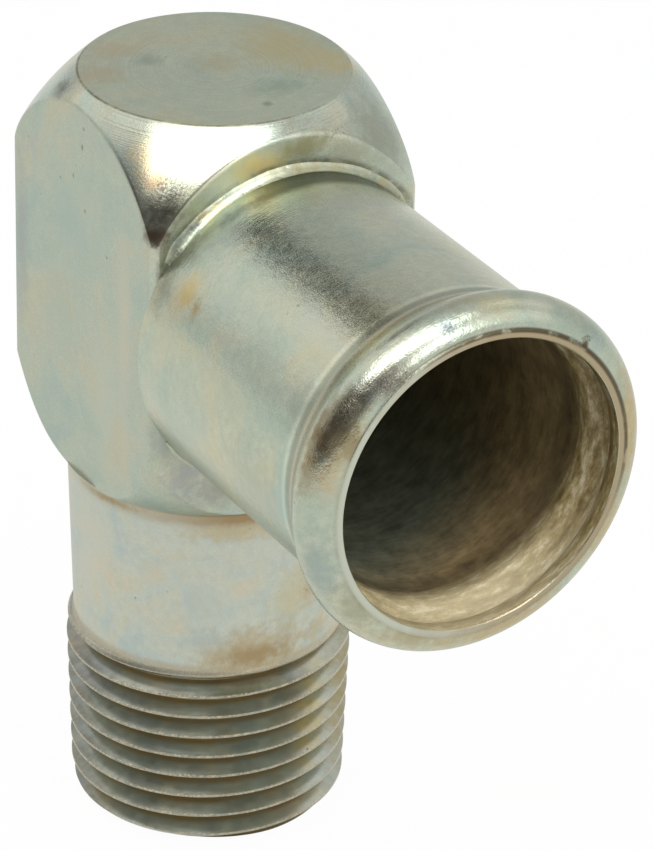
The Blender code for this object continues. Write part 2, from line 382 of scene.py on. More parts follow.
# shank with its rolled taper thread, drawn by Geometry Nodes; these are the tree's inputs, in mm
shank = {
    "Pitch": 1.4111, "Start Drop": 2.25, "Start Turn": 0.505, "Taper": 1 / 32, "Blank Radius": 7.76,
    "Crest Height": 0.48, "Root Depth": 0.52, "Crest Share": 0.12, "Root Share": 0.12, "Thread Length": 12.3,
    "Run Out": 0.9, "End Chamfer": 0.75, "Chamfer Softness": 0.06, "Top": 23.3, "Fillet": 0.62, "Flare": 0.33,
    "Bore Radius": 5.86, "Weld Distance": 0.002,
}
shankGrid = {"columns": 216, "rowsPerTurn": 18, "sharpAngle": 50}


def shankTree():
    tree = bpy.data.node_groups.new("threadedShank", "GeometryNodeTree")
    tree.interface.new_socket("Geometry", in_out="OUTPUT", socket_type="NodeSocketGeometry")
    for key, value in shank.items():
        socket = tree.interface.new_socket(key, in_out="INPUT", socket_type="NodeSocketFloat")
        socket.default_value = value
    tree.interface.new_socket("Material", in_out="INPUT", socket_type="NodeSocketMaterial")
    given = tree.nodes.new("NodeGroupInput").outputs
    add = partial(addNode, tree)

    # a sheet wound as a helix: x is the turn, y climbs a pitch every few rows, and both ends are held level
    rowsPerTurn = shankGrid["rowsPerTurn"]
    rowCount = math.ceil((shank["Top"] + shank["Start Drop"]) / shank["Pitch"]) * rowsPerTurn + 1
    turnCount = (rowCount - 1) / rowsPerTurn
    sheet = add("GeometryNodeMeshGrid", [1.0, 1.0, shankGrid["columns"] + 1, rowCount])
    place = add("SeparateXYZ", [add("GeometryNodeInputPosition")])
    turn = add("+", [place.outputs[0], 0.5])
    row = add("Math MULTIPLY_ADD", [place.outputs[1], turnCount, turnCount / 2])
    climb = add("*", [add("+", [turn, row]), given["Pitch"]])
    climb = add("-", [climb, given["Start Drop"]])
    height = add("Math MINIMUM", [add("Math MAXIMUM", [climb, 0.0]), given["Top"]])

    # thread section from the phase at this height: 0 in the root, 1 on the crest
    raised = add("+", [height, given["Start Drop"]])
    turns = add("-", [add("Math DIVIDE", [raised, given["Pitch"]]), turn])
    phase = add("Math FRACT", [add("+", [turns, given["Start Turn"]])])
    away = add("Math ABSOLUTE", [add("-", [phase, 0.5])])
    away = add("*", [away, 2.0])
    crestStart = add("-", [1.0, given["Crest Share"]])
    ridge = add("ramp", [away, given["Root Share"], crestStart])
    fade = add("-", [given["Thread Length"], given["Run Out"]])
    fade = add("softRamp", [height, given["Thread Length"], fade])
    depth = add("+", [given["Crest Height"], given["Root Depth"]])
    offset = add("-", [add("*", [ridge, depth]), given["Root Depth"]])
    blank = add("Math MULTIPLY_ADD", [height, given["Taper"], given["Blank Radius"]])
    threaded = add("Math MULTIPLY_ADD", [offset, fade, blank])
    endRadius = add("+", [given["Blank Radius"], given["Crest Height"]])
    endRadius = add("-", [endRadius, given["End Chamfer"]])
    chamfer = add("+", [endRadius, height])
    radius = add("Math SMOOTH_MIN", [threaded, chamfer, given["Chamfer Softness"]])
    flareStart = add("-", [given["Top"], given["Fillet"]])
    flare = add("Math POWER", [add("ramp", [height, flareStart, given["Top"]]), 2.0])
    radius = add("Math MULTIPLY_ADD", [flare, given["Flare"], radius])
    angle = add("*", [turn, 2 * math.pi])
    acrossX = add("*", [radius, add("Math COSINE", [angle])])
    acrossY = add("*", [radius, add("Math SINE", [angle])])
    woundPlace = add("CombineXYZ", [acrossX, acrossY, height])
    rootness = add("*", [add("-", [1.0, ridge]), fade])
    marked = add("GeometryNodeStoreNamedAttribute",
                 {"Geometry": sheet, "Name": "threadDepth", "Value": rootness},
                 data_type="FLOAT", domain="POINT")
    wound = add("GeometryNodeSetPosition", {"Geometry": marked, "Position": woundPlace})
    welded = add("GeometryNodeMergeByDistance", {"Geometry": wound, "Distance": given["Weld Distance"]})

    # end face and bore: both open rims are drawn in to the bore, and the lower one goes up to meet the upper
    spot = add("SeparateXYZ", [add("GeometryNodeInputPosition")])
    neighbours = add("GeometryNodeInputMeshEdgeNeighbors")
    rim = add("FunctionNodeCompare", {2: neighbours, 3: 1}, data_type="INT", operation="EQUAL")
    drawn = add("GeometryNodeExtrudeMesh", {"Mesh": welded, "Selection": rim, "Offset Scale": 0.0},
                mode="EDGES")
    outward = add("CombineXYZ", [spot.outputs[0], spot.outputs[1], 0.0])
    outward = add("VectorMath NORMALIZE", [outward])
    level = add("CombineXYZ", [0.0, 0.0, spot.outputs[2]])
    boreRim = add("VectorMath SCALE", {0: outward, "Scale": given["Bore Radius"]})
    boreRim = add("VectorMath ADD", [boreRim, level])
    faced = add("GeometryNodeSetPosition",
                {"Geometry": drawn, "Selection": drawn.outputs["Top"], "Position": boreRim})
    low = add("FunctionNodeCompare", [spot.outputs[2], 1.0], data_type="FLOAT", operation="LESS_THAN")
    lowRim = add("FunctionNodeBooleanMath AND", [rim, low])
    bored = add("GeometryNodeExtrudeMesh", {"Mesh": faced, "Selection": lowRim, "Offset Scale": 0.0},
                mode="EDGES")
    lifted = add("CombineXYZ", [spot.outputs[0], spot.outputs[1], given["Top"]])
    closed = add("GeometryNodeSetPosition",
                 {"Geometry": bored, "Selection": bored.outputs["Top"], "Position": lifted})
    closed = add("GeometryNodeMergeByDistance", {"Geometry": closed, "Distance": given["Weld Distance"]})

    sized = add("GeometryNodeTransform", {"Geometry": closed, "Scale": (mm, mm, mm)})
    edgeAngle, sharp = add("GeometryNodeInputMeshEdgeAngle"), math.radians(shankGrid["sharpAngle"])
    crisp = add("FunctionNodeCompare", [edgeAngle, sharp], data_type="FLOAT", operation="GREATER_THAN")
    shaded = add("GeometryNodeSetShadeSmooth", {"Geometry": sized, "Selection": crisp, "Shade Smooth": False},
                 domain="EDGE")
    realised = add("GeometryNodeRealizeInstances", {"Geometry": shaded})
    finished = add("GeometryNodeSetMaterial", {"Geometry": realised, "Material": given["Material"]})
    add("NodeGroupOutput", [finished])
    return tree


def buildShank(material):
    piece = bpy.data.objects.new("threadedShank", bpy.data.meshes.new("threadedShank"))
    scene.collection.objects.link(piece)
    step = piece.modifiers.new("threadedShank", "NODES")
    step.node_group = shankTree()
    for socket in step.node_group.interface.items_tree:
        if socket.in_out == "INPUT":
            step[socket.identifier] = material if socket.name == "Material" else float(shank[socket.name])
    depsgraph = bpy.context.evaluated_depsgraph_get()
    mesh = bpy.data.meshes.new_from_object(piece.evaluated_get(depsgraph))
    piece.modifiers.clear()
    piece.data = mesh
    work = bmesh.new()
    work.from_mesh(mesh)
    bmesh.ops.recalc_face_normals(work, faces=work.faces)
    work.to_mesh(mesh)
    work.free()
    return piece


# zinc plate with a clear chromate film: a satin grey-green metal with faint blue, straw and pink clouds where
# the film is thicker or thinner, and brown stains where rinse water stood; sizes in mm
# the real grain and hollows are finer, and are drawn as coarse as they need to show
plate = {
    "cloudDetail": 4.0, "mottleSize": 0.55, "raggedSize": 1.3, "hollowSize": 0.15, "hollowTone": "#504a3b",
    "pitTone": "#5d5a4c",
}


def zincSkin(name, look):
    # shared ground of every finish: clouds of tone, grain, pits, rough places and stains
    material = bpy.data.materials.new(name)
    material.use_nodes = True
    tree = material.node_tree
    add = partial(addNode, tree)
    shader = tree.nodes["Principled BSDF"]
    shader.inputs["Metallic"].default_value = 1.0
    spot = add("VectorMath SCALE", {0: add("TexCoord").outputs["Object"], "Scale": 1 / mm})
    clouds = add("TexNoise", {"Vector": spot, "Scale": 1 / look["cloudSize"], "Detail": plate["cloudDetail"],
                              "Roughness": 0.55, "Distortion": 0.6})
    tones = add("ValToRGB", [clouds])
    ramp = tones.color_ramp
    while len(ramp.elements) < len(look["tones"]):
        ramp.elements.new(0.5)
    for element, (place, tone) in zip(ramp.elements, look["tones"]):
        element.position, element.color = place, hexColour(tone)
    grain = add("TexNoise", {"Vector": spot, "Scale": 1 / look["grainSize"], "Detail": 2.0})
    mottle = add("TexNoise", {"Vector": spot, "Scale": 1 / plate["mottleSize"], "Detail": 3.0})
    ragged = add("TexNoise", {"Vector": spot, "Scale": 1 / plate["raggedSize"], "Detail": 5.0,
                              "Roughness": 0.65})

    # fine light and dark grain over the clouds
    speck = add("ramp", [grain, 0.3, 0.7, 1 - look["grainContrast"], 1 + look["grainContrast"]])
    level = add("*", [speck, add("ramp", [mottle, 0.3, 0.7, 0.95, 1.05])])
    colour = add("VectorMath SCALE", {0: tones, "Scale": level})

    # stains: soft ellipsoids with a ragged, speckled edge
    edge = add("Math MULTIPLY_ADD", [ragged, 0.9, mottle])
    edge = add("Math MULTIPLY_ADD", [grain, 0.25, edge])
    for centre, radii, tone, strength in look["stains"]:
        distance = add("+", [edge, awayFrom(add, spot, centre, radii)])
        amount = add("softRamp", [distance, 2.30, 1.15, 0.0, strength])
        colour = add("Mix RGBA", {0: amount, 6: colour, 7: hexColour(tone)})

    # rough places, where the plate is thin and speckled with dark hollows
    fine = add("TexNoise", {"Vector": spot, "Scale": 1 / plate["hollowSize"], "Detail": 4.0,
                            "Roughness": 0.8})
    rough = 0.0
    for centre, radii, share in look["roughPlaces"]:
        near = add("softRamp", [awayFrom(add, spot, centre, radii), 1.15, 0.1, 0.0, share])
        rough = add("Math MAXIMUM", [near, rough])
    hollows = add("softRamp", [add("+", [fine, rough]), 0.72, 1.0, 0.0, 0.7])

    # sparse pits, darker and lower
    pits = add("TexVoronoi", {"Vector": spot, "Scale": 1 / look["pitSpacing"], "Randomness": 1.0})
    pit = add("softRamp", [pits, look["pitShare"], look["pitShare"] * 0.35])
    pit = add("*", [pit, add("ramp", [mottle, 0.56, 0.62, 0.0, look["pitDarkness"]])])
    for mask, tone in ((hollows, plate["hollowTone"]), (pit, plate["pitTone"])):
        colour = add("Mix RGBA", {0: mask, 6: colour, 7: hexColour(tone)})

    roughness = add("ramp", [mottle, 0.3, 0.7, *look["roughness"]])
    pit = add("Math MULTIPLY_ADD", [hollows, 0.35, pit])
    return {"material": material, "tree": tree, "shader": shader, "add": add, "colour": colour, "pit": pit,
            "grain": grain, "mottle": mottle, "ragged": ragged, "roughness": roughness,
            "xyz": add("SeparateXYZ", [spot]).outputs}


def finishSkin(parts, height, depth):
    # height is a node that gives relief, depth the mm of relief where it gives 1
    bump = parts["add"]("Bump", {"Strength": 1.0, "Distance": depth * mm, "Height": height})
    for value, name in ((parts["colour"], "Base Color"), (bump, "Normal"), (parts["roughness"], "Roughness")):
        feed(parts["tree"], value, parts["shader"].inputs[name])
    return parts["material"]


# turned and milled steel: satin flats, a brighter lathe-turned shoulder with faint tool rings under the crown
# real tool rings are finer, and are drawn this wide so that they show
bodyLook = {
    "tones": [(0.32, "#b6c6bd"), (0.44, "#bfcabd"), (0.53, "#c5ccbc"), (0.62, "#cacbb7"), (0.74, "#cccab2")],
    "cloudSize": 5.0, "grainSize": 0.12, "grainContrast": 0.08, "roughness": (0.38, 0.46),
    "pitSpacing": 1.5, "pitShare": 0.11, "pitDarkness": 0.55, "crownTone": "#bdc2a4", "edgeLineAndShadeTone": "#6f6d58",
    "shoulderRoughness": 0.20, "ringWidth": 0.16, "ringDepth": 1.05, "relief": 0.012,
    "roughPlaces": [
        ((-7.1, -7.7, 44.5), (2.2, 2.4, 1.5), 0.38), ((-7.9, 3.0, 46.7), (1.2, 2.0, 1.0), 0.34),
        ((-7.0, -8.6, 41.8), (1.8, 1.0, 2.4), 0.28), ((3.4, -8.6, 46.3), (3.8, 0.8, 0.6), 0.30)],
    "stains": [
        ((-8.6, -5.3, 34.0), (1.2, 0.9, 8.5), "#d6d1c0", 0.55),  # beige stripe down the left flat
        ((-8.6, 7.3, 35.5), (0.8, 1.0, 6.5), "#b0b4b4", 0.6),  # cool stripe at its back edge
        ((-8.6, 5.8, 42.0), (1.0, 1.4, 1.2), "#c4c1b8", 0.4),
        ((-8.6, 0.3, 40.0), (1.0, 3.4, 4.5), "#b9c9bf", 0.45),
        ((-8.6, 2.4, 33.0), (1.0, 3.0, 4.0), "#b8c6ba", 0.5),
        ((-8.6, -3.0, 30.3), (1.0, 2.2, 4.2), "#cdd2c4", 0.45),
        ((-8.6, -3.5, 25.3), (1.0, 2.2, 1.2), "#cfd0ba", 0.5),
        ((-8.6, -0.3, 44.5), (0.5, 0.16, 0.24), "#77827a", 0.8),  # two dark specks
        ((-8.6, 0.8, 42.3), (0.5, 0.14, 0.20), "#77827a", 0.8),
        ((4.9, 0.6, 47.5), (3.2, 4.6, 1.0), "#cabb8c", 0.8),  # olive patch on the crown's right
        ((6.4, -2.4, 47.5), (1.8, 2.4, 1.0), "#d2bf8e", 0.7),
        ((-6.2, 2.2, 47.5), (2.0, 1.8, 1.0), "#c2b59e", 0.75),
        ((-3.9, 4.6, 47.5), (2.1, 1.5, 1.0), "#c9ba9e", 0.75),
        ((-2.9, 2.6, 47.5), (1.2, 0.9, 1.0), "#93a49a", 0.75),
        ((0.2, 0.4, 47.5), (1.8, 1.6, 1.0), "#bbb08e", 0.55),
        ((1.9, -3.9, 47.5), (2.0, 1.4, 1.0), "#97ad9f", 0.75),
        ((0.3, -5.7, 47.5), (0.36, 0.42, 1.0), "#7a9078", 0.85),
        ((-7.4, -6.0, 46.0), (1.4, 1.7, 1.2), "#f6e2b6", 0.8),  # straw flush beside the shoulder's highlight
        ((-7.7, -6.9, 45.0), (1.1, 1.0, 0.8), "#cfb28a", 0.75),
        ((-7.4, -8.0, 43.7), (1.6, 1.2, 1.05), "#615c4e", 0.9),  # painted dark reflection, speckled, below it
        ((-8.3, -8.3, 42.4), (1.0, 1.0, 0.9), "#7d6855", 0.95),  # brown tip above the corner strip
        ((-8.1, 3.1, 46.6), (0.8, 1.1, 0.7), "#7f7f73", 0.65),
        # painted shade on the shoulder's right side
        ((6.4, -7.6, 45.0), (3.0, 2.4, 2.6), "#acb2a0", 0.75),
        ((-3.6, -8.6, 45.0), (1.9, 0.6, 1.2), "#e2e2c4", 0.8),  # pale straw, then orange, on the front flat
        ((-1.8, -8.6, 45.4), (2.2, 0.6, 1.0), "#f4da96", 0.85),
        ((0.9, -8.6, 45.9), (2.0, 0.6, 0.9), "#a5a07c", 0.85),
        ((-5.9, -8.6, 43.6), (1.4, 0.6, 1.6), "#c3cba9", 0.6),
        ((3.9, -8.6, 44.8), (1.9, 0.6, 1.2), "#b3b29c", 0.6),
        ((6.9, -8.6, 43.2), (1.3, 0.6, 1.2), "#b7bfb2", 0.5),
        ((-7.6, -8.6, 29.6), (1.6, 0.6, 2.4), "#abb4ad", 0.7),
        ((-6.4, -8.6, 27.0), (1.6, 0.6, 2.2), "#a9adae", 0.75),  # cool purple below the tube
        ((-4.3, -8.6, 25.4), (2.0, 0.6, 1.4), "#a5a49c", 0.8),
        ((-7.4, -6.6, 24.2), (1.6, 1.4, 0.8), "#afbcb0", 0.6),
        ((-4.6, -7.4, 23.0), (5.2, 3.4, 0.40), "#977f52", 0.75),  # brown line where the body meets the shank
    ],
}


def bodyMaterial(look):
    parts = zincSkin("zinc plated steel, turned and milled", look)
    add, xyz, colour = parts["add"], parts["xyz"], parts["colour"]
    flats, top = body["halfFlats"], body["height"]
    far = add("Math MAXIMUM", [add("Math ABSOLUTE", [xyz[0]]), add("Math ABSOLUTE", [xyz[1]])])
    milled = add("ramp", [far, flats - 0.07, flats - 0.02])
    crown = add("ramp", [xyz[2], top - 0.10, top - 0.03])
    plain = add("Math MAXIMUM", [milled, crown])
    turned = add("*", [add("-", [1.0, plain]), add("ramp", [xyz[2], 33.0, 36.0])])
    parts["roughness"] = add("Mix FLOAT", {0: turned, 2: parts["roughness"], 3: look["shoulderRoughness"]})
    radius = add("VectorMath LENGTH", [add("CombineXYZ", [xyz[0], xyz[1], 0.0])])

    # the crown is a little straw all over
    straw = add("*", [crown, 0.28])

    # dark line broken along the crown's edge, and painted contact shade where the braze meets the front flat
    edgeLine = nearLine(add, radius, body["crownRadius"], 0.11, 0.02, 1.0)
    edgeLine = add("*", [edgeLine, add("ramp", [xyz[2], top - 0.3, top - 0.2])])
    edgeLine = add("*", [edgeLine, add("ramp", [xyz[0], -2.0, 5.0, 1.0, 0.35])])
    lift = add("-", [xyz[2], tube["axisHeight"]])
    fromTube = add("VectorMath LENGTH", [add("CombineXYZ", [xyz[0], 0.0, lift])])
    brazeFootShade = add("softRamp", [fromTube, 10.40, 10.02])
    brazeFootShade = add("*", [brazeFootShade, add("ramp", [xyz[1], -8.4, -8.55])])
    brazeFootShade = add("*", [brazeFootShade, add("ramp", [xyz[2], 35.0, 38.0])])
    line = add("Math MAXIMUM", [edgeLine, brazeFootShade])
    line = add("*", [line, add("ramp", [parts["ragged"], 0.40, 0.60, 0.1, 0.75])])
    for mask, tone in ((straw, look["crownTone"]), (line, look["edgeLineAndShadeTone"])):
        colour = add("Mix RGBA", {0: mask, 6: colour, 7: hexColour(tone)})

    # tool rings follow the lathe: they depend on radius and height alone
    along = add("-", [radius, xyz[2]])
    rings = add("TexNoise", {"W": along, "Scale": 1 / look["ringWidth"], "Detail": 3.0},
                noise_dimensions="1D")
    ringLevel = add("ramp", [rings, 0.3, 0.7, 0.96, 1.04])
    ringLevel = add("Mix FLOAT", {0: crown, 2: 1.0, 3: ringLevel})
    parts["colour"] = add("VectorMath SCALE", {0: colour, "Scale": ringLevel})
    ringZone = add("*", [add("softRamp", [xyz[2], 45.6, 46.9, 0.06, 1.0]), turned])
    ringZone = add("Math MULTIPLY_ADD", [crown, 0.5, ringZone])
    ringHeight = add("*", [rings, add("*", [ringZone, look["ringDepth"]])])
    calm = add("ramp", [turned, 0.0, 1.0, 1.0, 0.35])
    ground = add("-", [add("*", [parts["grain"], calm]), parts["pit"]])
    return finishSkin(parts, add("+", [ground, ringHeight]), look["relief"])


# drawn steel tube: fine polishing lines round it, a bright rolled bead with small pits, a dull oxidised bore
# real polishing lines are finer, and are drawn this wide so that they show
tubeLook = {
    "tones": [(0.32, "#b5c3b5"), (0.44, "#bfc9b8"), (0.53, "#c6ccb9"), (0.62, "#cbccb4"), (0.74, "#cfcaae")],
    "cloudSize": 4.5, "grainSize": 0.10, "grainContrast": 0.06, "roughness": (0.19, 0.25),
    "pitSpacing": 1.4, "pitShare": 0.12, "pitDarkness": 0.4,
    "beadRoughness": 0.24, "rimRoughness": 0.40, "boreRoughness": 0.5, "boreMetal": 0.15,
    "flankTone": "#c3b89e", "creaseShadeTone": "#5a6054", "rimTones": ("#cfd3c4", "#b8a98c"),
    "rimLineTone": "#453619", "boreLeftTones": ("#857651", "#727766"), "boreTone": "#9d8963",
    "hollowTones": [(0.34, "#78663c"), (0.52, "#aa9766"), (0.70, "#dbd2b6")],
    "insideTones": ("#e6dab6", "#6b5735", "#f0e8cc"),
    "bandLength": 2.2, "bandWidth": 0.45, "lineLength": 1.2, "lineWidth": 0.10, "relief": 0.011,
    "roughPlaces": [
        ((-8.3, -28.9, 41.0), (2.0, 1.5, 2.2), 0.33), ((-5.6, -29.6, 42.6), (2.4, 0.9, 1.4), 0.38),
        ((-9.2, -28.4, 39.8), (0.9, 1.2, 2.2), 0.30), ((-8.0, -29.6, 40.2), (0.9, 0.4, 1.8), 0.30),
        ((-2.3, -29.3, 44.9), (1.1, 0.7, 0.8), 0.36),
        ((6.2, -29.5, 42.2), (0.8, 0.6, 0.6), 0.42), ((-8.0, -12.3, 40.1), (1.2, 1.2, 1.2), 0.24)],
    "stains": [
        ((-8.0, -11.4, 40.2), (1.8, 1.6, 2.0), "#d9caa0", 0.6),  # straw and orange stain near the root
        ((-8.0, -11.5, 40.2), (1.2, 0.7, 1.3), "#d4bc7c", 0.6),
        ((-8.2, -12.8, 39.9), (0.7, 0.5, 0.8), "#b5a170", 0.7),
        ((-9.2, -11.0, 37.4), (0.8, 1.0, 2.2), "#d1cab0", 0.5),
        ((-9.2, -16.4, 37.2), (0.8, 1.1, 2.2), "#d2cab0", 0.45),
        ((-7.7, -19.6, 40.4), (1.2, 2.0, 1.4), "#b9c4b3", 0.6),
        ((-8.4, -24.6, 39.2), (1.0, 1.1, 2.8), "#a6b3a5", 0.55),
        ((-9.3, -21.8, 33.5), (1.4, 4.0, 3.0), "#b3b8a5", 0.6),
        ((-9.3, -18.6, 37.4), (0.9, 2.4, 2.0), "#bdc2b0", 0.45),
        ((-9.5, -24.7, 34.5), (0.9, 1.0, 3.8), "#a9c1bb", 0.7),
        ((-7.6, -15.0, 40.9), (1.0, 1.5, 1.2), "#bfcabc", 0.5),
        ((-5.6, -22.5, 42.7), (1.4, 3.0, 1.2), "#d3d5c8", 0.5),
        ((-8.4, -9.4, 39.8), (1.2, 0.8, 2.2), "#9c9c82", 0.7),
        ((-4.4, -10.8, 43.3), (3.0, 2.0, 1.8), "#a6b2b6", 0.65),
        ((-4.0, -10.1, 43.7), (1.8, 0.55, 1.0), "#7a8282", 0.8),  # shade at the foot of the braze
        ((-2.2, -10.2, 44.3), (1.7, 0.8, 0.9), "#6e7474", 0.8),
        ((5.0, -24.0, 43.2), (2.0, 1.2, 1.2), "#cfcbaa", 0.5),
        ((4.7, -19.3, 43.2), (3.0, 4.0, 1.8), "#bfc0a0", 0.65),
        ((-0.6, -28.1, 45.4), (2.0, 0.7, 0.8), "#b9b399", 0.6),
        ((0.8, -12.9, 44.4), (2.2, 2.6, 1.2), "#b3bdb6", 0.6),
        ((-8.7, -29.0, 40.3), (2.0, 1.5, 3.2), "#cdb78c", 0.8),  # brown streak on the bead, speckled with painted dark reflection
        ((-9.4, -28.4, 39.8), (1.0, 1.2, 2.4), "#887659", 0.8),
        ((-8.4, -28.8, 41.2), (1.4, 1.2, 1.7), "#8f8a79", 0.8),
        ((-8.3, -29.6, 39.6), (0.9, 0.5, 1.8), "#9b8f70", 0.8),
        ((-7.3, -29.1, 42.2), (1.2, 0.8, 1.0), "#787468", 0.8),
        ((-10.0, -28.2, 38.0), (0.7, 0.9, 2.6), "#947f5c", 0.7),
        ((-5.9, -29.5, 42.7), (2.0, 0.9, 1.2), "#9a968a", 0.8),
        ((-9.5, -29.2, 37.6), (1.0, 1.0, 1.6), "#cdb793", 0.6),
        ((-9.8, -29.2, 32.2), (1.3, 1.4, 2.8), "#a3b2ae", 0.8),
        ((-7.4, -29.6, 30.0), (1.8, 0.9, 2.2), "#a9a88f", 0.75),
        ((-3.6, -29.6, 27.0), (3.4, 0.9, 1.8), "#b3a98c", 0.8),
        ((2.0, -29.4, 26.0), (6.0, 1.3, 1.8), "#c6b188", 0.85),
        ((0.9, -28.8, 45.2), (2.2, 0.9, 0.9), "#d6cca4", 0.55),
        ((3.6, -29.0, 44.7), (1.4, 0.9, 0.9), "#d9d9c6", 0.6),
        ((7.0, -29.4, 41.8), (1.4, 0.7, 1.0), "#b3c0bd", 0.6),
        ((-2.3, -29.3, 45.0), (0.6, 0.5, 0.6), "#8e9aa6", 0.7),  # cool pits at the highlight's end
        ((9.3, -29.2, 36.0), (1.6, 1.4, 5.0), "#c7b288", 0.9),
        ((8.0, -29.4, 30.5), (2.2, 1.2, 3.2), "#c5b48d", 0.8),
        ((6.1, -29.7, 42.0), (0.35, 0.3, 0.3), "#5c4a2c", 0.9),  # nick at the rim
    ],
}


def tubeMaterial(look):
    parts = zincSkin("zinc plated steel, drawn tube", look)
    add, xyz, ragged, colour = parts["add"], parts["xyz"], parts["ragged"], parts["colour"]
    lift = add("-", [xyz[2], tube["axisHeight"]])
    radius = add("VectorMath LENGTH", [add("CombineXYZ", [xyz[0], 0.0, lift])])
    reach = add("*", [xyz[1], -1.0])
    wallMiddle = add("ramp", [reach, 28.75, 28.95, 9.47, 8.88])
    outside = add("ramp", [add("-", [radius, wallMiddle]), 0.0, 0.03])
    skin = add("Math MAXIMUM", [outside, add("ramp", [reach, 29.71, 29.76])])
    bead = add("*", [add("ramp", [reach, 26.2, 27.0]), outside])
    rim = add("ramp", [reach, 29.76, 29.79])

    # straw on the bead's back flank; painted grey-green shade in the crease behind it and at the upper right
    # of the root, under the braze
    flank = add("*", [add("ramp", [reach, 25.3, 25.9]), add("ramp", [reach, 27.4, 26.6])])
    flank = add("*", [add("*", [flank, outside]), 0.5])
    root = add("softRamp", [reach, 11.1, 10.2, 0.0, 0.9])
    root = add("*", [root, add("ramp", [lift, 4.0, 7.5])])
    root = add("*", [root, add("softRamp", [xyz[0], -4.6, -0.6])])
    creaseShade = add("Math MAXIMUM", [nearLine(add, reach, 25.35, 0.45, 0.08, 0.55), root])
    creaseShade = add("*", [creaseShade, outside])

    # rim: pale on the left, pinkish straw on the right, with a broken brown line round it at the upper right
    rimPlace = add("Math MULTIPLY_ADD", [lift, 0.15, xyz[0]])
    rimPlace = add("ramp", [add("Math MULTIPLY_ADD", [ragged, 9.0, rimPlace]), -2.0, 6.0])
    left, right = (hexColour(tone) for tone in look["rimTones"])
    rimTones = add("Mix RGBA", {0: rimPlace, 6: left, 7: right})
    fromRim = add("Math ABSOLUTE", [add("-", [radius, tube["rimOuter"] + 0.02])])
    line = add("ramp", [fromRim, 0.20, 0.07, 0.0, 0.85])
    line = add("*", [line, add("ramp", [reach, 29.5, 29.6])])
    upperRight = add("Math MULTIPLY_ADD", [xyz[0], 0.8, lift])
    line = add("*", [line, add("softRamp", [upperRight, 2.0, 8.0, 0.12, 1.0])])
    line = add("*", [line, add("ramp", [ragged, 0.36, 0.48, 0.35, 1.0])])
    for mask, tone in ((flank, hexColour(look["flankTone"])), (creaseShade, hexColour(look["creaseShadeTone"])),
                       (rim, rimTones), (line, hexColour(look["rimLineTone"]))):
        colour = add("Mix RGBA", {0: mask, 6: colour, 7: tone})

    # painted light in the crease behind the bead, and painted shade that dulls the bead's start a little
    creaseLightCurve = add("FloatCurve", [1.0, add("ramp", [reach, 24.6, 26.7])])
    points = creaseLightCurve.mapping.curves[0].points
    for place, level in ((0.33, 0.64), (0.62, 0.41)):
        points.new(place, level)
    points[0].location = (0.0, 0.5)
    points[-1].location = (1.0, 0.5)
    creaseLightCurve.mapping.update()
    creaseLightLevel = add("*", [creaseLightCurve, 2.0])
    colour = add("VectorMath SCALE", {0: colour, "Scale": creaseLightLevel})

    # bore: dull brown oxide, greyer at the lower left; painted shade darkens it in its depth, just before the
    # hollow and towards the top
    turnAngle = add("Math ARCTAN2", [add("*", [lift, -1.0]), add("*", [xyz[0], -1.0])])
    arc = add("*", [turnAngle, tube["radius"] / look["bandLength"]])
    bandSpot = add("CombineXYZ", [arc, add("*", [reach, 1 / look["bandWidth"]]), 0.0])
    bands = add("TexNoise", {"Vector": bandSpot, "Scale": 1.3, "Detail": 5.0, "Roughness": 0.7},
                noise_dimensions="2D")
    boreSide = add("Math MULTIPLY_ADD", [xyz[0], 0.5, reach])
    boreSide = add("ramp", [add("Math MULTIPLY_ADD", [ragged, 3.0, boreSide]), 22.0, 27.0])
    high, low = (hexColour(tone) for tone in look["boreLeftTones"])
    leftTones = add("Mix RGBA", {0: add("ramp", [lift, -2.0, -7.0]), 6: high, 7: low})
    boreTones = add("Mix RGBA", {0: boreSide, 6: leftTones, 7: hexColour(look["boreTone"])})
    boreLevel = add("ramp", [add("Math MULTIPLY_ADD", [ragged, 1.6, bands]), 0.9, 1.7, 0.55, 1.45])
    depthShade = add("ramp", [reach, 12.0, 23.0, 0.8, 1.0])
    depthShade = add("*", [depthShade, add("softRamp", [reach, 23.8, 25.3, 1.0, 0.55])])
    boreLevel = add("*", [boreLevel, depthShade])
    boreLevel = add("*", [boreLevel, add("ramp", [lift, -7.5, 2.0, 1.14, 0.78])])
    boreTones = add("VectorMath SCALE", {0: boreTones, "Scale": boreLevel})

    # tan bands round the hollow of the bead, painted lighter low down and darker towards the top, with
    # painted highlights: cream low down and a bright line; and a brown line by the lip
    hollowTones = add("ValToRGB", [bands])
    hollowTones.color_ramp.elements.new(0.5)
    for element, (place, tone) in zip(hollowTones.color_ramp.elements, look["hollowTones"]):
        element.position, element.color = place, hexColour(tone)
    hollowLightLevel = add("ramp", [lift, -7.0, 5.0, 1.08, 0.62])
    hollowTones = add("VectorMath SCALE", {0: hollowTones, "Scale": hollowLightLevel})
    hollow = add("softRamp", [reach, 25.6, 26.7])
    inside = add("Mix RGBA", {0: hollow, 6: boreTones, 7: hollowTones})
    lowHighlight = add("*", [add("ramp", [lift, -4.0, -9.0, 0.0, 0.5]), hollow])
    cornerLine = nearLine(add, reach, 29.0, 0.35, 0.08, 0.6)
    cornerLine = add("*", [cornerLine, add("ramp", [lift, -6.0, 0.0, 0.3, 1.0])])
    grooveHighlight = add("*", [nearLine(add, reach, 28.1, 0.32, 0.06, 0.7), ragged])
    for mask, tone in zip((lowHighlight, cornerLine, grooveHighlight), look["insideTones"]):
        inside = add("Mix RGBA", {0: mask, 6: inside, 7: hexColour(tone)})
    parts["colour"] = add("Mix RGBA", {0: skin, 6: inside, 7: colour})
    metal = add("ramp", [skin, 0.0, 1.0, look["boreMetal"], 1.0])
    feed(parts["tree"], metal, parts["shader"].inputs["Metallic"])

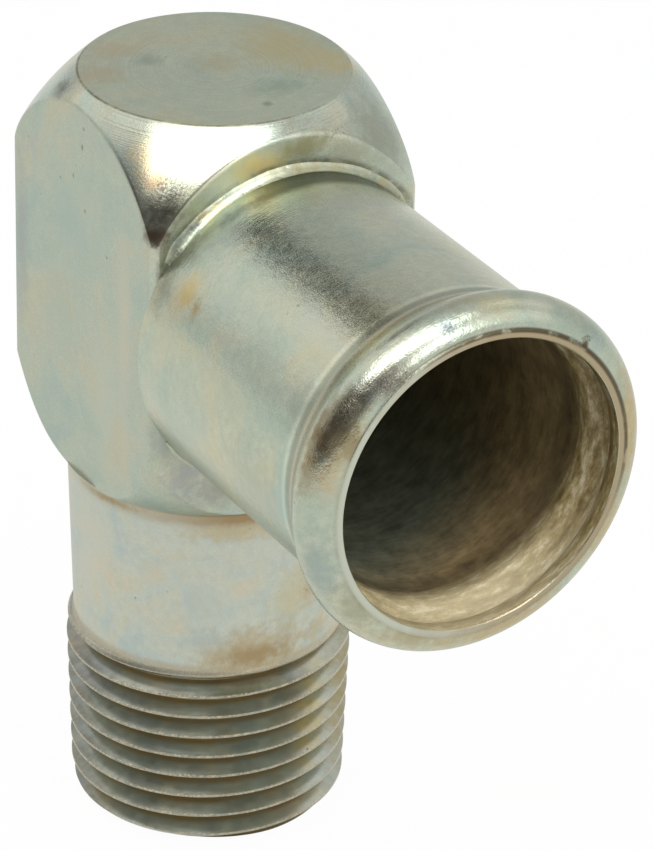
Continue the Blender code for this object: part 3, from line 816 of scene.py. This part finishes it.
    rough = parts["roughness"]
    for mask, level in ((bead, look["beadRoughness"]), (rim, look["rimRoughness"])):
        rough = add("Mix FLOAT", {0: mask, 2: rough, 3: level})
    parts["roughness"] = add("Mix FLOAT", {0: skin, 2: look["boreRoughness"], 3: rough})

    # polishing lines run round the tube, so they change quickly along it and slowly round it
    arc = add("*", [turnAngle, tube["radius"] / look["lineLength"]])
    lineSpot = add("CombineXYZ", [arc, add("*", [reach, 1 / look["lineWidth"]]), 0.0])
    lines = add("TexNoise", {"Vector": lineSpot, "Scale": 1.0, "Detail": 2.0}, noise_dimensions="2D")
    relief = add("Math MULTIPLY_ADD", [parts["mottle"], 2.0, add("+", [parts["grain"], lines])])
    return finishSkin(parts, add("-", [relief, parts["pit"]]), look["relief"])


# braze flowed and plated over: brighter and lumpy
brazeLook = {
    "tones": [(0.35, "#a9b3a2"), (0.5, "#c3c9b3"), (0.65, "#c2b992")], "cloudSize": 2.0, "grainSize": 0.12,
    "grainContrast": 0.08, "roughness": (0.26, 0.38), "pitSpacing": 0.7, "pitShare": 0.18, "pitDarkness": 0.8,
    "relief": 0.04, "roughPlaces": [((-7.9, -9.3, 41.4), (2.2, 1.5, 2.6), 0.28)],
    # the lower arc is in the tube's shade and has the plain plate's tone
    "stains": [((0.0, -9.3, 27.0), (12.0, 1.5, 9.0), "#b5bdb0", 1.0)],
}

# rolled thread and plain shank: clouds of blue and straw, brown where water ran into the thread and corner
# real die lines are finer, and are drawn this wide so that they show
shankLook = {
    "tones": [(0.32, "#c2cdc9"), (0.43, "#cad1c8"), (0.52, "#cfd3c6"), (0.61, "#d3d1c0"), (0.74, "#d8cdb6")],
    "cloudSize": 2.8, "grainSize": 0.12, "grainContrast": 0.04, "roughness": (0.34, 0.42), "pitSpacing": 1.1,
    "pitShare": 0.12, "pitDarkness": 0.6, "threadRoughness": 0.26, "dieLine": 0.25, "relief": 0.012,
    "threadShadeTone": "#807f72", "cornerTone": "#a07d44", "runOutTone": "#b9a377", "crestHighlightTone": "#d6cab2",
    "dirtTone": "#97845c", "roughPlaces": [((2.4, -7.8, 17.0), (1.6, 1.4, 2.2), 0.27)],
    "stains": [
        ((-1.8, -8.0, 13.4), (4.8, 2.0, 2.0), "#bda882", 0.8),  # brown pool above the thread
        ((-1.4, -8.0, 13.0), (2.4, 1.5, 1.0), "#a38a60", 0.65),
        ((0.9, -8.2, 16.4), (1.8, 1.4, 2.2), "#cdc49e", 0.6),
        ((2.2, -8.1, 16.4), (0.8, 1.2, 1.4), "#c9b78e", 0.55),
        ((-4.8, -7.0, 17.0), (1.6, 1.6, 2.0), "#bfcac6", 0.5),
        ((-4.4, -7.2, 14.4), (1.8, 1.6, 1.0), "#b6c6c6", 0.6),
        ((-6.6, -5.2, 18.6), (1.0, 1.3, 0.9), "#ddd0b4", 0.5),
        ((-8.3, -0.6, 18.0), (0.9, 2.0, 4.0), "#d9d6c8", 0.5),
        ((3.2, -7.6, 13.4), (1.4, 1.2, 1.0), "#c3b68c", 0.5),
        ((-2.6, -7.8, 21.8), (4.0, 2.4, 0.8), "#c4ad7a", 0.6),
        ((2.0, -7.9, 19.2), (1.2, 1.4, 2.6), "#cfc39c", 0.5),
        ((-8.1, -2.5, 22.7), (1.4, 3.0, 0.36), "#a89468", 0.7),
        ((-8.0, -1.0, 9.8), (1.6, 3.0, 2.0), "#b4bac0", 0.6),
        ((2.8, -7.7, 7.5), (1.3, 1.2, 5.0), "#ead79c", 0.75),  # gold to the right of the thread, lightened as painted glints
        ((5.8, -5.4, 7.5), (2.2, 2.4, 6.0), "#c4b47e", 0.85),
        ((-6.6, -4.6, 6.5), (2.2, 2.8, 5.0), "#adb4b2", 0.6),  # cooler to its left
    ],
}


def shankMaterial(look):
    parts = zincSkin("zinc plated steel, rolled thread", look)
    add, xyz, ragged, colour = parts["add"], parts["xyz"], parts["ragged"], parts["colour"]
    depth = add("Attribute", attribute_name="threadDepth").outputs["Fac"]

    # painted shade dulls the thread, less on its right
    threaded = add("softRamp", [xyz[2], 12.8, 11.6])
    crest = add("softRamp", [depth, 0.16, 0.02, 0.62, 0.72])
    threadShade = add("*", [threaded, crest])
    threadShade = add("*", [threadShade, add("ramp", [xyz[0], 1.0, 5.5, 1.0, 0.3])])
    threadShade = add("*", [threadShade, add("ramp", [ragged, 0.38, 0.62, 1.15, 0.75])])

    # brown run in the corner under the body, fading to the left, and where the thread runs out
    cornerRun = add("Math MULTIPLY_ADD", [parts["mottle"], 0.5, xyz[2]])
    cornerRun = add("softRamp", [cornerRun, 22.15, 22.85])
    cornerRun = add("*", [cornerRun, add("ramp", [xyz[0], -7.5, -3.0, 0.3, 0.9])])
    cornerRun = add("*", [cornerRun, add("ramp", [xyz[1], 1.0, -3.0, 0.35, 0.9])])
    runOut = nearLine(add, xyz[2], shank["Thread Length"], 0.5, 0.1, 0.5)
    metal = add("ramp", [runOut, 0.0, 0.5, 1.0, 0.35])
    feed(parts["tree"], metal, parts["shader"].inputs["Metallic"])
    runOut = add("*", [runOut, add("ramp", [ragged, 0.40, 0.60, 0.4, 1.0])])

    # painted highlight as a bright broken line along the crests, and brown dirt in the roots
    crestHighlight = add("ramp", [depth, 0.10, 0.02])
    crestHighlight = add("*", [crestHighlight, add("ramp", [parts["grain"], 0.46, 0.62, 0.1, 0.75])])
    crestHighlight = add("*", [crestHighlight, threaded])
    dirt = add("Math MULTIPLY_ADD", [ragged, 0.9, depth])
    dirt = add("softRamp", [dirt, 1.0, 1.42, 0.0, 0.7])
    for mask, tone in ((threadShade, "threadShadeTone"), (cornerRun, "cornerTone"), (runOut, "runOutTone"),
                       (crestHighlight, "crestHighlightTone"), (dirt, "dirtTone")):
        colour = add("Mix RGBA", {0: mask, 6: colour, 7: hexColour(look[tone])})
    parts["colour"] = colour
    parts["roughness"] = add("Mix FLOAT", {0: threaded, 2: parts["roughness"], 3: look["threadRoughness"]})

    # the dies left fine lines round the thread, and the grain shows on the plain shank alone
    turnAngle = add("*", [add("Math ARCTAN2", [xyz[1], xyz[0]]), 3.0])
    lineSpot = add("CombineXYZ", [turnAngle, add("*", [xyz[2], 1 / look["dieLine"]]), 0.0])
    lines = add("TexNoise", {"Vector": lineSpot, "Scale": 1.0, "Detail": 0.0}, noise_dimensions="2D")
    plain = add("ramp", [threaded, 0.0, 1.0, 1.0, 0.0])
    relief = add("Math MULTIPLY_ADD", [parts["grain"], plain, lines])
    return finishSkin(parts, add("-", [relief, parts["pit"]]), look["relief"])


def brazeMaterial(look):
    parts = zincSkin("zinc plated braze", look)
    return finishSkin(parts, parts["add"]("-", [parts["mottle"], parts["pit"]]), look["relief"])


for piece, material in ((squareBody, bodyMaterial(bodyLook)), (hoseTube, tubeMaterial(tubeLook)),
                        (brazeRun, brazeMaterial(brazeLook))):
    piece.data.materials.clear()
    piece.data.materials.append(material)
threadedShank = buildShank(shankMaterial(shankLook))
print("materials made; threaded shank", len(threadedShank.data.polygons), "faces")

for piece in (squareBody, hoseTube, brazeRun, threadedShank):
    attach(piece, "root")
    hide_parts("hose_fitting")


# white paper under the fitting, seen white by the camera and pale in reflections
paper = {"halfSize": 2, "drop": 0.0002, "tone": "#e8e8e4", "mirroredTone": "#ebebe6", "roughness": 0.9,
         "seenShare": 0.97, "mirroredShare": 0.8}
floorMesh = bpy.data.meshes.new("floor")
h, low = paper["halfSize"], -paper["drop"]
floorMesh.from_pydata([(-h, -h, low), (h, -h, low), (h, h, low), (-h, h, low)], [], [(0, 1, 2, 3)])
floor = bpy.data.objects.new("floor", floorMesh)
scene.collection.objects.link(floor)
whiteSweep = bpy.data.materials.new("white paper sweep")
whiteSweep.use_nodes = True
tree = whiteSweep.node_tree
add = partial(addNode, tree)
shader = tree.nodes["Principled BSDF"]
shader.inputs["Base Color"].default_value = hexColour(paper["tone"])
shader.inputs["Roughness"].default_value = paper["roughness"]
rays = add("LightPath")
white = add("Emission", {"Color": (1, 1, 1, 1), "Strength": 1.0})
pale = add("Emission", {"Color": hexColour(paper["mirroredTone"]), "Strength": 1.0})
seen = add("*", [rays.outputs["Is Camera Ray"], paper["seenShare"]])
mirrored = add("*", [rays.outputs["Is Glossy Ray"], paper["mirroredShare"]])
surface = add("MixShader", [seen, add("MixShader", [mirrored, shader, pale]), white])
feed(tree, surface, tree.nodes["Material Output"].inputs["Surface"])
floorMesh.materials.append(whiteSweep)

# soft studio round the object; each card is a soft round lobe in the world: azimuth, elevation, inner and
# outer reach in degrees, and level; each lamp is a soft box that faces the aim: azimuth, elevation, distance,
# width and height in metres, and radiance
studio = {
    "level": 0.61, "roomColour": (1.0, 1.0, 0.985, 1.0), "aim": (0, -0.01, 0.035),
    "cards": [
        (-130, 56, 6, 24, 1.0), (-150, 28, 8, 24, 0.90), (166, 46, 8, 22, 0.48), (-174, 41, 4, 12, 0.0),
        (-80, 16, 18, 42, 0.12), (-40, 16, 10, 32, 0.20), (0, 88, 4, 14, 0.9), (45, 24, 8, 26, 1.0),
        (92, 33, 5, 13, 0.82), (93, 49, 4, 12, 1.1),
    ],
    "lamps": [("overhead soft box", -32, 65, 0.6, 0.72, 0.33, 3.0),
              ("right soft box", 13, 23, 0.7, 0.22, 0.30, 3.0)],
}


def towardsSky(azimuth, elevation):
    # unit vector at an azimuth, counted from the hose tube's side, and an elevation, in degrees
    a, e = math.radians(azimuth), math.radians(elevation)
    return Vector((math.sin(a) * math.cos(e), -math.cos(a) * math.cos(e), math.sin(e)))


world = bpy.data.worlds.new("soft studio")
scene.world = world
world.use_nodes = True
world.node_tree.nodes.clear()
add = partial(addNode, world.node_tree)
direction = add("TexCoord").outputs["Generated"]
light = studio["level"]
for azimuth, elevation, inner, outer, level in studio["cards"]:
    facing = add("VectorMath DOT_PRODUCT", [direction, towardsSky(azimuth, elevation)])
    amount = add("softRamp", [facing, math.cos(math.radians(outer)), math.cos(math.radians(inner))])
    light = add("Mix FLOAT", {0: amount, 2: light, 3: level})
room = add("Background", {"Color": studio["roomColour"], "Strength": light})
whiteBack = add("Background", {"Color": (1, 1, 1, 1), "Strength": 1.0})
backdrop = add("MixShader", [add("LightPath").outputs["Is Camera Ray"], room, whiteBack])
add("OutputWorld", [backdrop])

for name, azimuth, elevation, away, width, height, radiance in studio["lamps"]:
    towards = towardsSky(azimuth, elevation)
    lamp = bpy.data.lights.new(name, "AREA")
    lamp.shape = "RECTANGLE"
    lamp.size, lamp.size_y = width, height
    lamp.energy = radiance * math.pi * width * height
    item = bpy.data.objects.new(name, lamp)
    scene.collection.objects.link(item)
    item.location = Vector(studio["aim"]) + towards * away
    item.rotation_mode = "QUATERNION"
    item.rotation_quaternion = (-towards).to_track_quat("-Z", "Y")
    item.visible_camera = False
print("studio and lamps made")

# the photograph's viewing angle and framing; place in metres, focal length and picture centre in its pixels
view = {"azimuth": -30.860, "elevation": 28.726, "roll": 1.326, "place": (-0.12127, -0.21588, 0.16025),
        "focalPixels": 4775.86, "centre": (322.747, 423.541), "frame": (653, 850), "sensor": 36,
        "clip": (0.01, 20)}
a, s = math.radians(view["azimuth"]), math.radians(view["roll"])
back = towardsSky(view["azimuth"], view["elevation"])
levelRight = Vector((math.cos(a), math.sin(a), 0))
levelUp = back.cross(levelRight)
right = math.cos(s) * levelRight + math.sin(s) * levelUp
up = math.cos(s) * levelUp - math.sin(s) * levelRight
across, tall = view["frame"]
lens = bpy.data.cameras.new("camera")
lens.sensor_width = view["sensor"]
lens.lens = view["focalPixels"] * view["sensor"] / tall
lens.shift_x = (across / 2 - view["centre"][0]) / tall
lens.shift_y = (view["centre"][1] - tall / 2) / tall
lens.clip_start, lens.clip_end = view["clip"]
camera = bpy.data.objects.new("camera", lens)
scene.collection.objects.link(camera)
camera.matrix_world = Matrix([*zip(right, up, back, view["place"]), (0, 0, 0, 1)])
scene.camera = camera
scene.view_settings.view_transform = "Standard"
